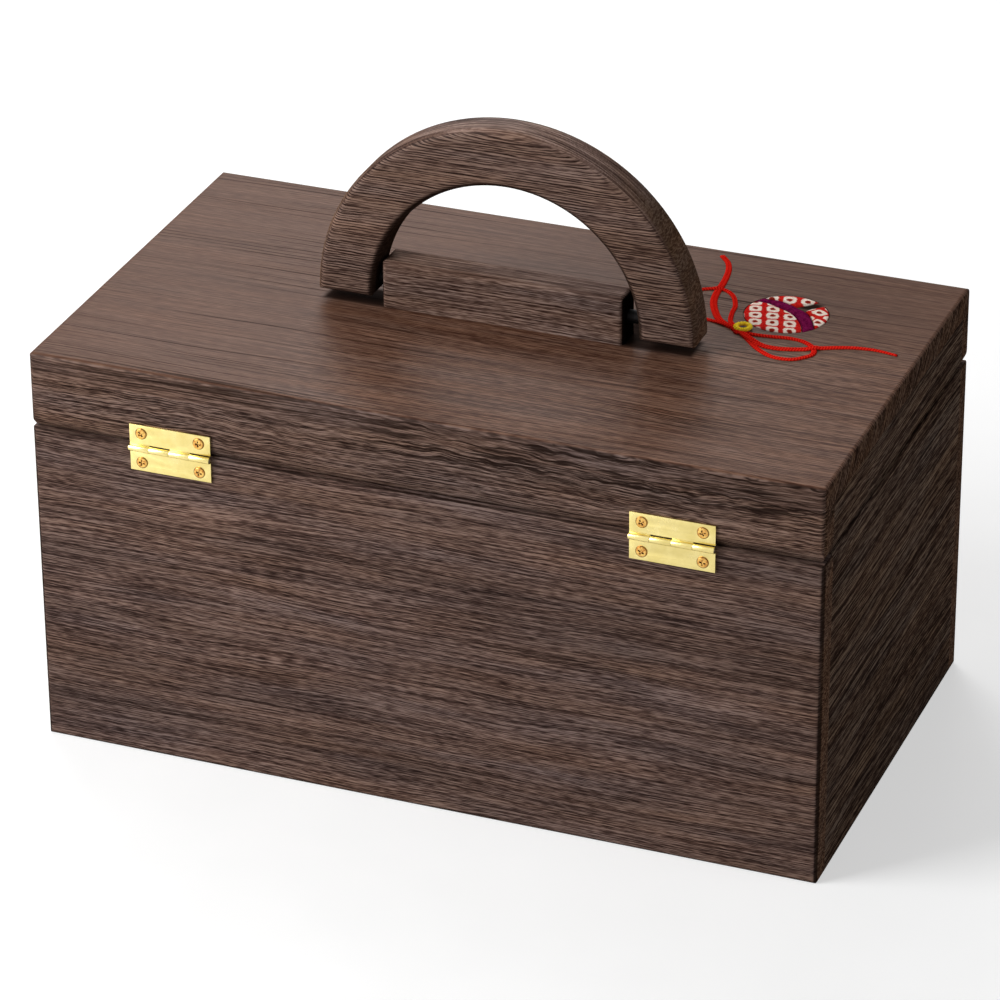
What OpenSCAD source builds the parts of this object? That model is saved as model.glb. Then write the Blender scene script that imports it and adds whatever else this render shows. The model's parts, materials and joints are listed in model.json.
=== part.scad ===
// Wooden sewing box with a hinged lid, a swing handle on the lid and a lift-out tray.
// +X is the right-hand end seen from the front, +Y is the back with the hinges, +Z is up.
// The origin is on the table, under the middle of the box.

/* [Box] */
// Length of the box from end to end
box_w = 305; // [280:1:340]
// Depth of the box from front to back
box_d = 173; // [160:1:210]
// Height of the closed box without its handle
box_h = 160; // [150:1:190]
// Height of the lid, from the seam to its top
lid_h = 29.6; // [28.6:0.2:36]
// Thickness of the boards of the sides
wall_t = 9; // [8:0.5:11]
// Thickness of the lid's top board
top_t = 9; // [7:0.5:11]
// Gap between the closed lid and the body
seam = 0.7; // [0.4:0.05:0.8]

/* [Edges] */
// Rounding of the upright corners
corner_r = 2; // [1:0.25:4]
// Rounding of the lid's top edge
top_r = 1.8; // [1:0.2:4]
// Rounding of the body's lower edge
foot_r = 1.2; // [0.6:0.2:3]
// How far in the lid's lower edge is eased
lid_ease_in = 1.5; // [0.8:0.1:2]
// How far up the easing of the lid's lower edge reaches
lid_ease_h = 5.4; // [3:0.2:8]
// How far in the body's top edge is rounded
body_ease_in = 0.6; // [0.4:0.1:1.5]
// How far down the rounding of the body's top edge reaches
body_ease_h = 1.2; // [0.8:0.2:3]

/* [Bottom panel] */
// Thickness of the bottom panel
bottom_t = 5; // [3:0.5:7]
// Depth of the grooves that hold the bottom panel
groove_d = 4; // [2:0.5:5]
// Height of the bottom panel's underside above the table
bottom_lift = 4; // [2:0.5:8]
// Clearance between the panel's edges and the grooves
panel_fit = 0.3; // [0.1:0.1:0.6]

/* [Tray] */
// Height of the tray
tray_h = 34; // [24:1:44]
// Thickness of the tray's walls
tray_wall = 5; // [4:0.5:7]
// Thickness of the tray's base
tray_base = 3; // [2:0.5:5]
// Thickness of the tray's dividers
divider_t = 4; // [3:0.5:6]
// Clearance around the tray
tray_gap = 1; // [0.5:0.25:2]
// How far the tray's rim lies below the body's rim
tray_drop = 4; // [2:0.5:8]
// Width of the ledges that carry the tray
ledge_w = 7; // [4:0.5:10]
// Height of the ledges
ledge_h = 8; // [5:0.5:12]
// Gap between the tray and its ledges
seat_gap = 0.2; // [0.1:0.05:0.3]
// Radius of the finger notches in the tray's end walls
notch_r = 13; // [9:0.5:16]

/* [Hinges] */
// Distance of each hinge's middle from the end of the box
hinge_inset = 56; // [45:0.5:80]
// How far the pins' axis lies below the middle of the seam
hinge_drop = 1; // [0:0.1:1.2]
// Length of a hinge
hinge_len = 32; // [28:1:38]
// From the pin's axis to the outer edge of a leaf
leaf_w = 9.25; // [8.6:0.25:12]
// Thickness of the leaves
leaf_t = 0.8; // [0.6:0.05:0.95]
// Radius of the barrel
barrel_r = 1.25; // [1.2:0.05:1.6]
// Gap between the barrel and the wood
barrel_gap = 0.2; // [0.15:0.05:0.4]
// Radius of the hinge pin
hinge_pin_r = 0.6; // [0.4:0.05:0.7]
// Number of knuckles
knuckles = 4; // [3:1:6]
// Gap between neighbouring knuckles
knuckle_gap = 0.15; // [0.1:0.05:0.3]
// Gap between a leaf and the other leaf's knuckles
barrel_slot = 0.3; // [0.2:0.05:0.5]
// Distance of a leaf's screws from its middle
leaf_screw_x = 11.4; // [9:0.2:12]
// Distance of a leaf's screws from the pin's axis
leaf_screw_z = 5.85; // [5:0.1:6.2]

/* [Screws] */
// Radius of the hinge screws' heads
head_r = 2.25; // [1.8:0.05:2.4]
// How far the hinge screws' heads stand out of the leaf
head_h = 0.5; // [0.4:0.05:0.6]
// Radius of the hinge screws' shanks
shank_r = 1.1; // [0.8:0.05:1.3]
// How far the small screws reach into the wood
screw_bite = 6.5; // [4:0.5:7]
// Clearance around a fastener in its hole
hole_fit = 0.05; // [0.02:0.01:0.1]

/* [Handle] */
// Where the handle's middle lies along the lid
handle_x = -0.7; // [-10:0.1:10]
// Where the handle's middle lies from front to back
handle_y = -1.1; // [-10:0.1:10]
// Length of the block between the handle's legs
block_len = 95; // [80:1:110]
// Thickness of the block from front to back
block_t = 13; // [12:0.2:18]
// Height of the block above the lid
block_h = 18.6; // [17:0.2:22]
// Rounding of the block's edges
block_r = 2; // [1:0.25:3]
// Clearance between the top of the block's ends and the centred arch
block_gap = 2.2; // [2.1:0.1:6]
// Width of the arch's band, seen from the front
arch_w = 22.4; // [19:0.2:26]
// Thickness of the arch
arch_t = 15.6; // [12:0.2:16]
// Rounding of the arch's edges
arch_r = 3.2; // [2:0.2:5]
// Height of the leg ends above the lid
arch_lift = 3.6; // [3:0.1:5]
// How far the arch has slid along its pins, towards -X
arch_slide = 1.5; // [0:0.1:2]
// Radius of the pivot pins
pivot_r = 2.5; // [2:0.1:3]
// Running clearance around the pivot pins
pivot_fit = 0.05; // [0.02:0.01:0.1]
// How deep each pivot pin sits in the block
pin_in_block = 14; // [10:0.5:17]
// How deep each pivot pin reaches into its leg
pin_in_leg = 10; // [6:0.5:14]
// Radius of the screws that hold the block to the lid
block_screw_r = 2; // [1.5:0.1:2.2]
// How far the block screws reach up into the block
block_screw_up = 14; // [11:0.5:16]

/* [Latch] */
// Height of the latch's pivot above the seam
latch_up = 13; // [11:0.5:14]
// Depth of the latch's knob below the seam
latch_down = 13; // [11:0.5:20]
// Length of each latch plate
plate_w = 24; // [22:0.5:30]
// Height of each latch plate
plate_h = 11; // [9:0.5:13]
// Thickness of the latch plates
plate_t = 0.6; // [0.5:0.1:0.8]
// Distance of a plate's screws from its middle
plate_screw_x = 8.6; // [8.2:0.1:9.2]
// Thickness of the hook
hook_t = 0.9; // [0.8:0.1:1.1]
// Width of the hook's arm
hook_w = 6; // [5:0.25:7]
// Radius of the rivet that the hook turns on
rivet_r = 1.5; // [1.2:0.1:1.8]
// Radius of the knob's neck
neck_r = 1.7; // [1.4:0.1:2]
// Clearance around the knob's neck in the hook's slot
slot_fit = 0.3; // [0.2:0.05:0.5]
// Gap between the hook and the plates
hook_gap = 0.25; // [0.2:0.05:0.35]
// Height of the latch screws' heads
plate_head_h = 0.45; // [0.4:0.05:0.5]
// Angle of the open hook, away from straight down
hook_rest = 100; // [80:1:120]

/* [Inlay] */
// Distance of the cloth ball's middle from the end of the lid
ball_from_end = 57; // [52:0.5:62]
// Distance of the cloth ball's middle from the front of the lid
ball_from_front = 46; // [43:0.5:50]
// Radius of the cloth ball
ball_r = 16; // [14:0.5:16]
// Depth of the pockets that hold the cloth
inlay_depth = 0.6; // [0.4:0.1:1]
// Height of the ball's crown above the lid
ball_rise = 1; // [0.6:0.1:1.1]
// Height of the cord and the ring above the lid
cord_rise = 0.4; // [0.3:0.1:0.8]
// Width of the cord
cord_w = 2.5; // [1.6:0.1:3]

/* [Hidden] */
$fn = 64;
over = 1;
join = 0.01;
bore_spare = 0.5;
joint_z = box_h - lid_h;
body_top = joint_z - seam/2;
lid_bottom = joint_z + seam/2;
under_top = box_h - top_t;
inner_w = box_w - 2*wall_t;
inner_d = box_d - 2*wall_t;

tray_w = inner_w - 2*tray_gap;
tray_d = inner_d - 2*tray_gap;
tray_top = body_top - tray_drop;
tray_z = tray_top - tray_h;
tray_floor = tray_z + tray_base;
ledge_top = tray_z - seat_gap;
cross_x = -tray_w/6;
left_room = cross_x - divider_t/2 + tray_w/2 - tray_wall;
right_room = tray_w/2 - tray_wall - cross_x - divider_t/2;
narrow_y = -tray_d/4;
wide_y = tray_d/6;
divider_drop = 3;
divider_h = tray_h - tray_base - divider_drop;

screw_tip = 1;
hinge_x = box_w/2 - hinge_inset;
hinge_z = joint_z - hinge_drop;
barrel_y = barrel_r + barrel_gap;
knuckle_len = hinge_len/knuckles;
leaf_start = barrel_r + barrel_slot;

arch_ri = sqrt(pow(block_len/2 + block_gap, 2) + pow(block_h - arch_lift, 2));
arch_ro = arch_ri + arch_w;
arch_x = handle_x - arch_slide;
arch_z = box_h + arch_lift;
pivot_z = box_h + block_h/2;
leg_face = sqrt(pow(arch_ri, 2) - pow(pivot_z - arch_z, 2));
pin_from = block_len/2 - pin_in_block;
pin_to = leg_face + pin_in_leg;
pin_len = pin_to - pin_from;
block_bore = pin_len + 2*bore_spare;
block_screw_x = pin_from - block_screw_r - bore_spare;
block_head_r = 1.9*block_screw_r;
block_tip = 2;

hook_len = latch_up + latch_down;
hook_y = plate_t + hook_gap;
hook_face = hook_y + hook_t;
hook_eye_r = hook_w/2 + 1;
slot_r = neck_r + slot_fit;
hook_rim = 3.2;
hook_end_r = slot_r + hook_rim;
plate_r = 1.5;
latch_out = barrel_y + barrel_r;
rivet_head_r = hook_eye_r - 0.6;
rivet_gap = 0.1;
knob_head_r = slot_r + 1.2;
knob_gap = 0.3;
plate_head_y = plate_t - plate_head_h + hole_fit;

ball_x = ball_from_end - box_w/2;
ball_y = ball_from_front - box_d/2;
cloth_edge = 0.3;
ring_out_r = 3.75;
ring_in_r = 1.75;
tail_w = 1.2;

wood = "#4f3d36";
wood_top = "#5f4a40";
wood_inside = "#b79b78";
brass = "#e6cf7a";
steel = "#b8b9bb";

// Edge and corner cutters

// A bar along X that rounds an edge: the edge is the X axis, with the wood at -Y and -Z
module edge_bar(len, inset, rise) {
    arc_r = (pow(inset, 2) + pow(rise, 2))/(2*inset);
    past = min(over, arc_r - inset);
    difference() {
        translate([-len/2, -inset - past, -rise]) cube([len, inset + past + over, rise + over]);
        translate([-len/2 - over, -arc_r, -rise]) rotate([0, 90, 0])
            cylinder(r = arc_r, h = len + 2*over);
    }
}

// The four upper edges of a block w by d whose top is at z = 0
module rim_bars(w, d, inset, rise) {
    for (turn = [0, 180]) {
        rotate([0, 0, turn]) translate([0, d/2, 0]) edge_bar(w + 2*over, inset, rise);
        rotate([0, 0, turn - 90]) translate([0, w/2, 0]) edge_bar(d + 2*over, inset, rise);
    }
}

// The four upright corners of the box
module corner_posts(z0, z1) {
    for (sx = [-1, 1], sy = [-1, 1])
        translate([sx*(box_w/2 - corner_r), sy*(box_d/2 - corner_r), z0])
            difference() {
                translate([sx > 0 ? 0 : -corner_r - over, sy > 0 ? 0 : -corner_r - over, -over])
                    cube([corner_r + over, corner_r + over, z1 - z0 + 2*over]);
                translate([0, 0, -2*over]) cylinder(r = corner_r, h = z1 - z0 + 4*over);
            }
}

module body_edges() {
    corner_posts(0, body_top);
    translate([0, 0, body_top]) rim_bars(box_w, box_d, body_ease_in, body_ease_h);
    mirror([0, 0, 1]) rim_bars(box_w, box_d, foot_r, foot_r);
}

module lid_edges() {
    corner_posts(lid_bottom, box_h);
    translate([0, 0, box_h]) rim_bars(box_w, box_d, top_r, top_r);
    translate([0, 0, lid_bottom]) mirror([0, 0, 1])
        rim_bars(box_w, box_d, lid_ease_in, lid_ease_h);
}

// Body boards

// The front or back board lies at +Y here, between heights z0 and z1
module long_board(z0, z1) {
    translate([-box_w/2, box_d/2 - wall_t, z0]) cube([box_w, wall_t, z1 - z0]);
}

// The end board lies at +X here, between the front and back boards
module end_board(z0, z1) {
    translate([box_w/2 - wall_t, -inner_d/2, z0]) cube([wall_t, inner_d, z1 - z0]);
}

// The groove that holds the bottom panel, all round
module bottom_groove() {
    translate([-inner_w/2 - groove_d, -inner_d/2 - groove_d, bottom_lift])
        cube([inner_w + 2*groove_d, inner_d + 2*groove_d, bottom_t]);
}

module body_board() {
    difference() {
        children();
        body_edges();
        bottom_groove();
    }
}

module body_front() {
    color(wood) difference() {
        body_board() mirror([0, 1, 0]) long_board(0, body_top);
        at_latch() for (s = [-1, 1]) {
            translate([s*plate_screw_x, 0, -latch_down]) pilot_hole();
        }
        at_latch() translate([0, 0, -latch_down]) pilot_hole(neck_r);
    }
}

module body_back() {
    color(wood) difference() {
        body_board() long_board(0, body_top);
        at_leaf_screws(-1) pilot_hole();
    }
}

module body_left() {
    color(wood) body_board() mirror([1, 0, 0]) end_board(0, body_top);
}

module body_right() {
    color(wood) body_board() end_board(0, body_top);
}

module body_bottom() {
    reach = groove_d - panel_fit;
    color(wood_inside)
        translate([-inner_w/2 - reach, -inner_d/2 - reach, bottom_lift])
            cube([inner_w + 2*reach, inner_d + 2*reach, bottom_t]);
}

module tray_ledge() {
    translate([inner_w/2 - ledge_w, -inner_d/2, ledge_top - ledge_h])
        cube([ledge_w, inner_d, ledge_h]);
}

module tray_ledge_left() {
    color(wood_inside) mirror([1, 0, 0]) tray_ledge();
}

module tray_ledge_right() {
    color(wood_inside) tray_ledge();
}

// Lid boards

module lid_top() {
    color(wood_top) difference() {
        translate([-box_w/2, -box_d/2, under_top]) cube([box_w, box_d, top_t]);
        lid_edges();
        at_block_screws() block_screw_hole();
        translate([0, 0, box_h - inlay_depth]) linear_extrude(inlay_depth + over) {
            ball_front_outline();
            ball_band_outline();
            ball_back_outline();
            ball_side_outline();
        }
    }
}

module lid_front() {
    color(wood) difference() {
        mirror([0, 1, 0]) long_board(lid_bottom, under_top);
        lid_edges();
        at_latch() for (s = [-1, 1]) {
            translate([s*plate_screw_x, 0, latch_up]) pilot_hole();
        }
        at_latch() translate([0, 0, latch_up]) pilot_hole(rivet_r);
    }
}

module lid_back() {
    color(wood) difference() {
        long_board(lid_bottom, under_top);
        lid_edges();
        at_leaf_screws(1) pilot_hole();
    }
}

module lid_left() {
    color(wood) difference() {
        mirror([1, 0, 0]) end_board(lid_bottom, under_top);
        lid_edges();
    }
}

module lid_right() {
    color(wood) difference() {
        end_board(lid_bottom, under_top);
        lid_edges();
    }
}

// Small screws
// Each points along -Y here: its head stands on the plane y = 0 and its shank goes into the wood

// The hole in the wood for a small screw, or for the stem of the rivet or the knob
module pilot_hole(stem_r = shank_r) {
    rotate([90, 0, 0]) translate([0, 0, -over])
        cylinder(r = stem_r + hole_fit, h = screw_bite + bore_spare + over);
}

// The cross recess of a head whose top is at z = 0
module cross_recess(r, depth) {
    for (turn = [0, 90])
        rotate([0, 0, turn]) translate([-0.62*r, -0.14*r, -depth])
            cube([1.24*r, 0.28*r, depth + over]);
}

// A raised head that stands base_y out of the wood
module small_screw(base_y, rise = head_h) {
    dome = 0.65*rise;
    dome_r = (pow(head_r, 2) + pow(dome, 2))/(2*dome);
    rotate([-90, 0, 0]) difference() {
        union() {
            translate([0, 0, base_y]) intersection() {
                cylinder(r = head_r, h = rise);
                translate([0, 0, rise - dome_r]) sphere(r = dome_r, $fn = 96);
            }
            translate([0, 0, -screw_bite + screw_tip])
                cylinder(r = shank_r, h = base_y + screw_bite - screw_tip + join);
            translate([0, 0, -screw_bite]) cylinder(r1 = 0.3*shank_r, r2 = shank_r, h = screw_tip);
        }
        translate([0, 0, base_y + rise]) cross_recess(head_r, 0.7*rise);
    }
}

// Hinges
// The pin's axis runs along X, the back of the box is the plane y = 0

module at_hinge(side) {
    translate([side*hinge_x, box_d/2, hinge_z]) children();
}

// The places of the screws in the lid leaves (up = 1) or the body leaves (up = -1)
module at_leaf_screws(up) {
    for (side = [-1, 1], s = [-1, 1])
        at_hinge(side) translate([s*leaf_screw_x, 0, up*leaf_screw_z]) children();
}

// One leaf, upwards from the pin. It has the knuckles first, first + 2 and so on, from -X
module leaf(first) {
    difference() {
        union() {
            translate([-hinge_len/2, 0, leaf_start]) cube([hinge_len, leaf_t, leaf_w - leaf_start]);
            for (k = [first : 2 : knuckles - 1])
                translate([-hinge_len/2 + k*knuckle_len + knuckle_gap/2, 0, 0]) {
                    translate([0, barrel_gap, 0])
                        cube([knuckle_len - knuckle_gap, leaf_t, leaf_start + join]);
                    translate([0, barrel_y, 0]) rotate([0, 90, 0])
                        cylinder(r = barrel_r, h = knuckle_len - knuckle_gap);
                }
        }
        translate([-hinge_len/2 - over, barrel_y, 0]) rotate([0, 90, 0])
            cylinder(r = hinge_pin_r + hole_fit, h = hinge_len + 2*over);
        for (s = [-1, 1])
            translate([s*leaf_screw_x, -over, leaf_screw_z]) rotate([-90, 0, 0])
                cylinder(r = shank_r + hole_fit, h = leaf_t + 2*over);
    }
}

module hinge_pin() {
    translate([-hinge_len/2, barrel_y, 0]) rotate([0, 90, 0])
        cylinder(r = hinge_pin_r, h = hinge_len);
}

module hinge_left_body_leaf() {
    color(brass) at_hinge(-1) mirror([0, 0, 1]) leaf(0);
}

module hinge_left_lid_leaf() {
    color(brass) at_hinge(-1) leaf(1);
}

module hinge_left_pin() {
    color(brass) at_hinge(-1) hinge_pin();
}

module hinge_right_body_leaf() {
    color(brass) at_hinge(1) mirror([0, 0, 1]) leaf(0);
}

module hinge_right_lid_leaf() {
    color(brass) at_hinge(1) leaf(1);
}

module hinge_right_pin() {
    color(brass) at_hinge(1) hinge_pin();
}

module hinge_body_screws() {
    color(brass) at_leaf_screws(-1) small_screw(leaf_t);
}

module hinge_lid_screws() {
    color(brass) at_leaf_screws(1) small_screw(leaf_t);
}

// Handle

// A w by h rectangle standing on y = 0, with its upper corners rounded
module tombstone(w, h, r) {
    translate([-w/2, 0]) square([w, h - r]);
    translate([-w/2 + r, 0]) square([w - 2*r, h]);
    for (s = [-1, 1]) translate([s*(w/2 - r), h - r]) circle(r = r);
}

// A w by h rectangle around the origin, with rounded corners
module rounded_rect(w, h, r) {
    square([w, h - 2*r], center = true);
    square([w - 2*r, h], center = true);
    for (sx = [-1, 1], sy = [-1, 1]) translate([sx*(w/2 - r), sy*(h/2 - r)]) circle(r = r);
}

module at_block_screws() {
    for (s = [-1, 1]) translate([handle_x + s*block_screw_x, handle_y, under_top]) children();
}

// The hole of a block screw: countersink, clearance in the lid and thread in the block
module block_screw_hole() {
    translate([0, 0, -over]) cylinder(r = block_head_r + hole_fit, h = over);
    cylinder(r1 = block_head_r + hole_fit, r2 = block_screw_r + hole_fit,
             h = block_head_r - block_screw_r);
    cylinder(r = block_screw_r + hole_fit, h = top_t + block_screw_up + over);
}

module handle_block() {
    color(wood_top) difference() {
        translate([handle_x, handle_y, box_h]) intersection() {
            translate([-block_len/2, 0, 0]) rotate([90, 0, 90])
                linear_extrude(block_len) tombstone(block_t, block_h, block_r);
            translate([0, block_t/2, 0]) rotate([90, 0, 0])
                linear_extrude(block_t) tombstone(block_len, block_h, block_r);
            linear_extrude(block_h) rounded_rect(block_len, block_t, block_r);
        }
        at_block_screws() block_screw_hole();
        for (s = [-1, 1])
            translate([handle_x + s*(block_len/2 + over), handle_y, pivot_z])
                rotate([0, -s*90, 0]) cylinder(r = pivot_r + pivot_fit, h = block_bore + over);
    }
}

// The arch is a half ring that stands on its two leg ends
module handle_arch() {
    color(wood_top) difference() {
        translate([arch_x, handle_y, arch_z]) rotate([90, 0, 0])
            rotate_extrude(angle = 180, $fn = 128)
                translate([(arch_ro + arch_ri)/2, 0])
                    rounded_rect(arch_ro - arch_ri, arch_t, arch_r);
        for (s = [-1, 1])
            translate([arch_x + s*(arch_ro + arch_ri)/2, handle_y, arch_z]) mirror([0, 0, 1])
                rim_bars(arch_ro - arch_ri, arch_t, block_r, block_r);
        for (s = [-1, 1])
            translate([arch_x + s*(arch_ri/2), handle_y, pivot_z]) rotate([0, s*90, 0])
                cylinder(r = pivot_r + pivot_fit,
                         h = leg_face - arch_ri/2 + pin_in_leg + arch_slide + bore_spare);
    }
}

// The pins run in the legs. The block screws stop them from sliding back into the block
module handle_pins() {
    color(steel) for (s = [-1, 1])
        translate([handle_x + s*pin_from, handle_y, pivot_z]) rotate([0, s*90, 0])
            cylinder(r = pivot_r, h = pin_len);
}

module handle_block_screws() {
    color(steel) at_block_screws() difference() {
        union() {
            cylinder(r1 = block_head_r, r2 = block_screw_r, h = block_head_r - block_screw_r);
            cylinder(r = block_screw_r, h = top_t + block_screw_up - block_tip);
            translate([0, 0, top_t + block_screw_up - block_tip])
                cylinder(r1 = block_screw_r, r2 = 0.2*block_screw_r, h = block_tip);
        }
        mirror([0, 0, 1]) cross_recess(block_head_r, 0.6*block_screw_r);
    }
}

// Latch
// Here the front of the box is the plane y = 0, +Y points away from it, and z = 0 is the seam

module at_latch() {
    translate([0, -box_d/2, joint_z]) rotate([0, 0, 180]) children();
}

module latch_plate(z, stem_r) {
    translate([0, 0, z]) difference() {
        rotate([-90, 0, 0]) linear_extrude(plate_t) rounded_rect(plate_w, plate_h, plate_r);
        for (s = [-1, 1]) {
            translate([s*plate_screw_x, -over, 0]) rotate([-90, 0, 0])
                cylinder(r = shank_r + hole_fit, h = plate_t + 2*over);
            translate([s*plate_screw_x, plate_head_y, 0]) rotate([-90, 0, 0])
                cylinder(r = head_r + hole_fit, h = plate_head_h + over);
        }
        translate([0, -over, 0]) rotate([-90, 0, 0])
            cylinder(r = stem_r + hole_fit, h = plate_t + 2*over);
    }
}

// A stem in the wood with a domed head that stands from y = from to y = to
module stud(stem_r, stud_head_r, from, to) {
    rise = to - from;
    dome_r = (pow(stud_head_r, 2) + pow(0.6*rise, 2))/(1.2*rise);
    rotate([-90, 0, 0]) {
        translate([0, 0, -screw_bite]) cylinder(r = stem_r, h = screw_bite + from + join);
        translate([0, 0, from]) intersection() {
            cylinder(r = stud_head_r, h = rise);
            translate([0, 0, rise - dome_r]) sphere(r = dome_r, $fn = 96);
        }
    }
}

module latch_lid_plate() {
    color(brass) at_latch() latch_plate(latch_up, rivet_r);
}

module latch_body_plate() {
    color(brass) at_latch() latch_plate(-latch_down, neck_r);
}

module latch_rivet() {
    color(brass) at_latch() translate([0, 0, latch_up])
        stud(rivet_r, rivet_head_r, hook_face + rivet_gap, latch_out);
}

module latch_knob() {
    color(brass) at_latch() translate([0, 0, -latch_down])
        stud(neck_r, knob_head_r, hook_face + knob_gap, latch_out);
}

module latch_lid_screws() {
    color(brass) at_latch() for (s = [-1, 1])
        translate([s*plate_screw_x, 0, latch_up]) small_screw(plate_head_y, plate_head_h);
}

module latch_body_screws() {
    color(brass) at_latch() for (s = [-1, 1])
        translate([s*plate_screw_x, 0, -latch_down]) small_screw(plate_head_y, plate_head_h);
}

// The hook's outline, hanging down from its pivot. Its slot opens towards +X and runs
// round the pivot, so that it slides over the knob's neck as the hook swings
module hook_outline() {
    difference() {
        union() {
            circle(r = hook_eye_r);
            translate([-hook_w/2, -hook_len]) square([hook_w, hook_len]);
            translate([0, -hook_len]) circle(r = hook_end_r);
            translate([0, -hook_len - hook_end_r]) circle(r = 0.4*hook_w);
        }
        circle(r = rivet_r + hole_fit);
        translate([0, -hook_len]) circle(r = slot_r);
        intersection() {
            difference() {
                circle(r = hook_len + slot_r, $fn = 160);
                circle(r = hook_len - slot_r, $fn = 160);
            }
            translate([0, -hook_len - hook_end_r]) square([2*hook_end_r, 2*hook_end_r]);
        }
    }
}

module latch_hook() {
    color(brass) at_latch() translate([0, hook_y, latch_up])
        rotate([0, hook_rest, 0]) translate([0, hook_t, 0]) rotate([90, 0, 0])
            linear_extrude(hook_t) hook_outline();
}

// Tray

module tray_long_wall() {
    translate([-tray_w/2, tray_d/2 - tray_wall, tray_floor])
        cube([tray_w, tray_wall, tray_h - tray_base]);
}

module tray_end_wall() {
    difference() {
        translate([tray_w/2 - tray_wall, -tray_d/2 + tray_wall, tray_floor])
            cube([tray_wall, tray_d - 2*tray_wall, tray_h - tray_base]);
        translate([tray_w/2 - tray_wall - over, 0, tray_top]) rotate([0, 90, 0])
            cylinder(r = notch_r, h = tray_wall + 2*over);
    }
}

module tray_front() {
    color(wood_inside) mirror([0, 1, 0]) tray_long_wall();
}

module tray_back() {
    color(wood_inside) tray_long_wall();
}

module tray_left() {
    color(wood_inside) mirror([1, 0, 0]) tray_end_wall();
}

module tray_right() {
    color(wood_inside) tray_end_wall();
}

module tray_base_panel() {
    color(wood_inside) translate([-tray_w/2, -tray_d/2, tray_z]) cube([tray_w, tray_d, tray_base]);
}

module tray_cross_divider() {
    color(wood_inside) translate([cross_x - divider_t/2, -tray_d/2 + tray_wall, tray_floor])
        cube([divider_t, tray_d - 2*tray_wall, divider_h]);
}

module tray_left_divider() {
    color(wood_inside) translate([-tray_w/2 + tray_wall, wide_y, tray_floor])
        cube([left_room, divider_t, divider_h]);
}

module tray_right_divider() {
    color(wood_inside) translate([cross_x + divider_t/2, narrow_y, tray_floor])
        cube([right_room, divider_t, divider_h]);
}

// Inlay of cloth and cord on the lid
// The outlines are in the plane of the lid. A ball of four cloth patches lies by a tied cord

// A smooth curve through points p, with n steps in each stretch
function at(p, i) = p[max(0, min(len(p) - 1, i))];
function blend(a, b, c, d, t) =
    0.5*((2*b) + (c - a)*t + (2*a - 5*b + 4*c - d)*t*t + (3*b - a - 3*c + d)*t*t*t);
function smooth(p, n = 4) = concat(
    [for (i = [0 : len(p) - 2], k = [0 : n - 1])
        blend(at(p, i - 1), p[i], p[i + 1], at(p, i + 2), k/n)],
    [p[len(p) - 1]]);

// The band's edges cross the ball from the back left to the front right, in parts of its radius
band_near = smooth([[1.3, 0.42], [0.94, 0.42], [0.57, 0.4], [0.2, 0.22], [-0.17, 0], [-0.48, -0.4],
                    [-0.66, -0.85], [-0.8, -1.3]]);
band_far = smooth([[1.3, 0.95], [0.94, 0.72], [0.63, 0.62], [0.3, 0.6], [-0.08, 0.42], [-0.42, 0.22],
                   [-0.65, -0.1], [-0.86, -0.56], [-1.1, -1.1]]);
gap_line = smooth([[-0.05, 0.36], [-0.35, 0.62], [-0.72, 1.1]]);
gap_side = smooth([[-0.36, 0.26], [-0.46, 0.46], [-0.86, 0.84]]);

// Points given in parts of the ball's radius, with its far side at +Y, put in their place on the lid
function on_ball(p) = [for (q = p) [ball_x + ball_r*q[0], ball_y - ball_r*q[1]]];

module ball_disc() {
    translate([ball_x, ball_y]) circle(r = ball_r);
}

module ball_front_outline() {
    intersection() {
        ball_disc();
        polygon(on_ball(concat(band_near, [[-0.8, -2], [2, -2], [2, 0.42]])));
    }
}

module ball_band_outline() {
    intersection() {
        ball_disc();
        polygon(on_ball(concat(band_near, [for (i = [len(band_far) - 1 : -1 : 0]) band_far[i]])));
    }
}

module far_side() {
    polygon(on_ball(concat(band_far, [[-2, -1.1], [-2, 2], [1.3, 2]])));
}

module ball_back_outline() {
    intersection() {
        ball_disc();
        far_side();
        polygon(on_ball(concat(gap_line, [[-0.72, 2], [2, 2], [2, -1], [0.2, -1]])));
    }
}

module ball_side_outline() {
    intersection() {
        ball_disc();
        far_side();
        polygon(on_ball(concat(gap_side, [[-2, 1.2], [-2, -2], [-0.36, -2]])));
    }
}

// The low dome of the padded cloth, from its pocket's floor to the crown, cut to one patch
module cloth_patch() {
    rings = 6;
    edge_h = inlay_depth + cloth_edge;
    crown_h = inlay_depth + ball_rise;
    dome = [for (i = [0 : rings])
        [ball_r*cos(90*i/rings), edge_h + (crown_h - edge_h)*sin(90*i/rings)]];
    translate([0, 0, box_h - inlay_depth]) intersection() {
        linear_extrude(crown_h + over) children();
        translate([ball_x, ball_y, 0]) rotate_extrude($fn = 96)
            polygon(concat([[0, 0], [ball_r, 0]], dome));
    }
}

module inlay_ball_front() {
    color("#c3262b") cloth_patch() ball_front_outline();
}

module inlay_ball_band() {
    color("#6c2350") cloth_patch() ball_band_outline();
}

module inlay_ball_back() {
    color("#c3262b") cloth_patch() ball_back_outline();
}

module inlay_ball_side() {
    color("#c3262b") cloth_patch() ball_side_outline();
}

// The cord's points are in mm from the middle of the ball
knot = [12.5, 19];
ring_at = [11, 17.4];

module inlay_ring() {
    color("#d9b32c") translate([ball_x + ring_at[0], ball_y + ring_at[1], box_h + cord_rise])
        difference() {
            cylinder(r = ring_out_r, h = cord_rise);
            translate([0, 0, -over]) cylinder(r = ring_in_r, h = cord_rise + 2*over);
        }
}

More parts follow.
